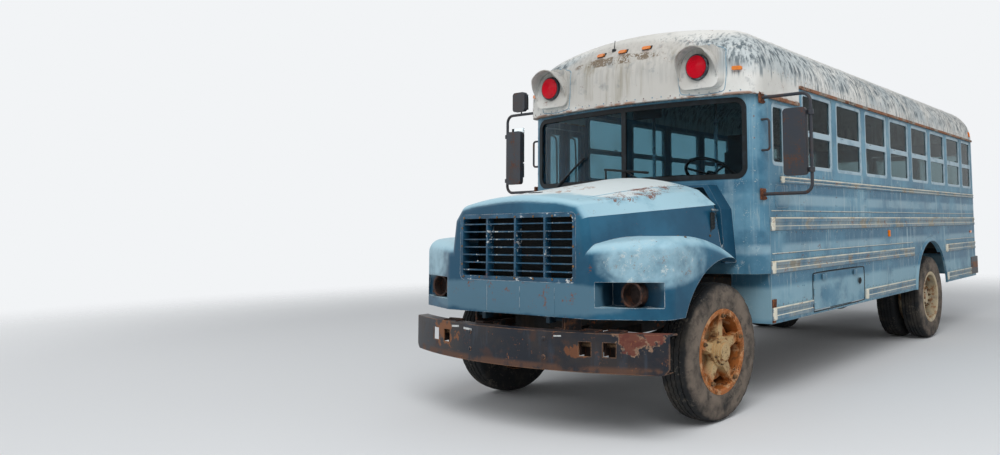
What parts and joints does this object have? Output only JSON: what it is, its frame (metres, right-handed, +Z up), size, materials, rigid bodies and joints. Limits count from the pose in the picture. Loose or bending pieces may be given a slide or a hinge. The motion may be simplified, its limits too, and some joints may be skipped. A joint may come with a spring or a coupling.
{
  "type": "school bus",
  "caption": "Conventional school bus with a tilting hood and fenders, steered front axle, twin rear wheels, hollow seated cabin, folding entrance door and rear emergency door.",
  "frame": {"origin": "on the ground below the middle of the bus, half way between the bumpers", "axes": "front faces -Y, the driver's side is +X, +Z up"},
  "size_m": [3.288, 8, 3.05],
  "materials": {
    "body_paint": "faded blue paint",
    "roof_paint": "chalky white paint",
    "rail_paint": "worn cream paint",
    "frame_paint": "pale window frame paint",
    "chassis_paint": "dusty black paint",
    "bumper_paint": "dark paint with rust",
    "grille_paint": "faded blue paint",
    "bucket": "rusty steel",
    "engine_block": "oily cast iron",
    "radiator_core": "dusty core",
    "exhaust_steel": "rusted steel",
    "tank_steel": "black paint",
    "floor": "dark ribbed floor",
    "glass": "dusty tinted glass",
    "lamp": "red lens",
    "wheel_front": "rusty cream paint",
    "wheel_rear": "rusty cream paint",
    "tyre": "dusty rubber",
    "seat_cover": "dark vinyl",
    "seat_steel": "dark paint",
    "dash": "dark plastic",
    "wheel_plastic": "black plastic",
    "mirror_metal": "black paint with rust",
    "gasket_rubber": "weathered rubber",
    "interior_paint": "pale green paint"
  },
  "bodies": {
    "chassis": {"chassis_frame": "chassis_paint", "front_bumper": "bumper_paint", "rear_bumper": "bumper_paint", "front_axle": "chassis_paint", "rear_axle": "chassis_paint", "leaf_springs": "chassis_paint", "engine": "engine_block", "radiator": "radiator_core", "driveline": "chassis_paint", "fuel_tank": "tank_steel", "exhaust": "exhaust_steel", "floor_beams": "chassis_paint", "body_floor": "floor", "front_wall": "body_paint", "windshield_glass": "glass", "side_wall_left": "body_paint", "side_wall_right": "body_paint", "rear_wall": "body_paint", "roof": "roof_paint", "window_frames": "frame_paint", "window_glass": "glass", "rub_rails": "rail_paint", "drip_rails": "roof_paint", "lamps": "lamp", "cowl": "body_paint", "battery_box": "chassis_paint", "seat_pads": "seat_cover", "seat_frames": "seat_steel", "driver_seat": "seat_cover", "dashboard": "dash", "mirrors": "mirror_metal", "skirt_left": "body_paint", "skirt_right": "body_paint", "arch_flares": "body_paint", "windshield_gasket": "gasket_rubber", "wipers": "mirror_metal", "grab_handles": "mirror_metal"},
    "hood": {"hood": "body_paint", "grille": "grille_paint", "headlamp_buckets": "bucket"},
    "knuckle_left": {"knuckle_left": "chassis_paint"},
    "knuckle_right": {"knuckle_right": "chassis_paint"},
    "tie_rod": {"tie_rod": "chassis_paint"},
    "front_wheel_left": {"front_wheel_left": "wheel_front", "front_tyre_left": "tyre"},
    "front_wheel_right": {"front_wheel_right": "wheel_front", "front_tyre_right": "tyre"},
    "rear_wheels_left": {"rear_wheels_left": "wheel_rear", "rear_tyres_left": "tyre"},
    "rear_wheels_right": {"rear_wheels_right": "wheel_rear", "rear_tyres_right": "tyre"},
    "entrance_front": {"entrance_leaf_front": "body_paint", "entrance_glass_front": "glass"},
    "entrance_rear": {"entrance_leaf_rear": "body_paint", "entrance_glass_rear": "glass"},
    "emergency_door": {"emergency_door": "body_paint", "emergency_glass": "glass"},
    "battery_door": {"battery_door": "body_paint"},
    "steering_wheel": {"steering_wheel": "wheel_plastic"}
  },
  "joints": [
    {"name": "hood_tilt", "type": "hinge", "parent": "chassis", "child": "hood", "pos_m": [0, -3.84, 0.76], "axis": [1, 0, 0], "range_deg": [0, 55]},
    {"name": "steer_left", "type": "hinge", "parent": "chassis", "child": "knuckle_left", "pos_m": [0.88, -2.98, 0.484], "axis": [0, 0, 1], "range_deg": [-33, 33]},
    {"name": "steer_right", "type": "hinge", "parent": "chassis", "child": "knuckle_right", "pos_m": [-0.88, -2.98, 0.484], "axis": [0, 0, 1], "range_deg": [-33, 33]},
    {"name": "tie_rod_pivot", "type": "hinge", "parent": "knuckle_left", "child": "tie_rod", "pos_m": [0.88, -2.77, 0.37], "axis": [0, 0, 1], "range_deg": [-33, 33]},
    {"name": "front_wheel_left_spin", "type": "hinge", "parent": "knuckle_left", "child": "front_wheel_left", "pos_m": [1.0195, -2.98, 0.484], "axis": [1, 0, 0], "continuous": true},
    {"name": "front_wheel_right_spin", "type": "hinge", "parent": "knuckle_right", "child": "front_wheel_right", "pos_m": [-1.0195, -2.98, 0.484], "axis": [1, 0, 0], "continuous": true},
    {"name": "rear_wheels_left_spin", "type": "hinge", "parent": "chassis", "child": "rear_wheels_left", "pos_m": [0.9455, 1.66, 0.484], "axis": [1, 0, 0], "continuous": true},
    {"name": "rear_wheels_right_spin", "type": "hinge", "parent": "chassis", "child": "rear_wheels_right", "pos_m": [-0.9455, 1.66, 0.484], "axis": [1, 0, 0], "continuous": true},
    {"name": "entrance_front_swing", "type": "hinge", "parent": "chassis", "child": "entrance_front", "pos_m": [-1.2263, -2.4, 1], "axis": [0, 0, 1], "range_deg": [0, 86]},
    {"name": "entrance_rear_swing", "type": "hinge", "parent": "chassis", "child": "entrance_rear", "pos_m": [-1.2263, -1.86, 1], "axis": [0, 0, 1], "range_deg": [-86, 0]},
    {"name": "emergency_door_swing", "type": "hinge", "parent": "chassis", "child": "emergency_door", "pos_m": [-0.33, 3.9173, 1.5], "axis": [0, 0, 1], "range_deg": [0, 110]},
    {"name": "battery_door_swing", "type": "hinge", "parent": "chassis", "child": "battery_door", "pos_m": [1.2263, -1.65, 0.8], "axis": [0, 0, -1], "range_deg": [0, 100]},
    {"name": "steering_wheel_turn", "type": "hinge", "parent": "chassis", "child": "steering_wheel", "pos_m": [0.56, -2.21, 1.8], "axis": [0, 0.5736, 0.8192], "range_deg": [-528, 528]}
  ],
  "couplings": [
    {"joint": "steer_right", "follows": "steer_left", "ratio": 1},
    {"joint": "tie_rod_pivot", "follows": "steer_left", "ratio": -1},
    {"joint": "entrance_rear_swing", "follows": "entrance_front_swing", "ratio": -1},
    {"joint": "steering_wheel_turn", "follows": "steer_left", "ratio": 16}
  ]
}
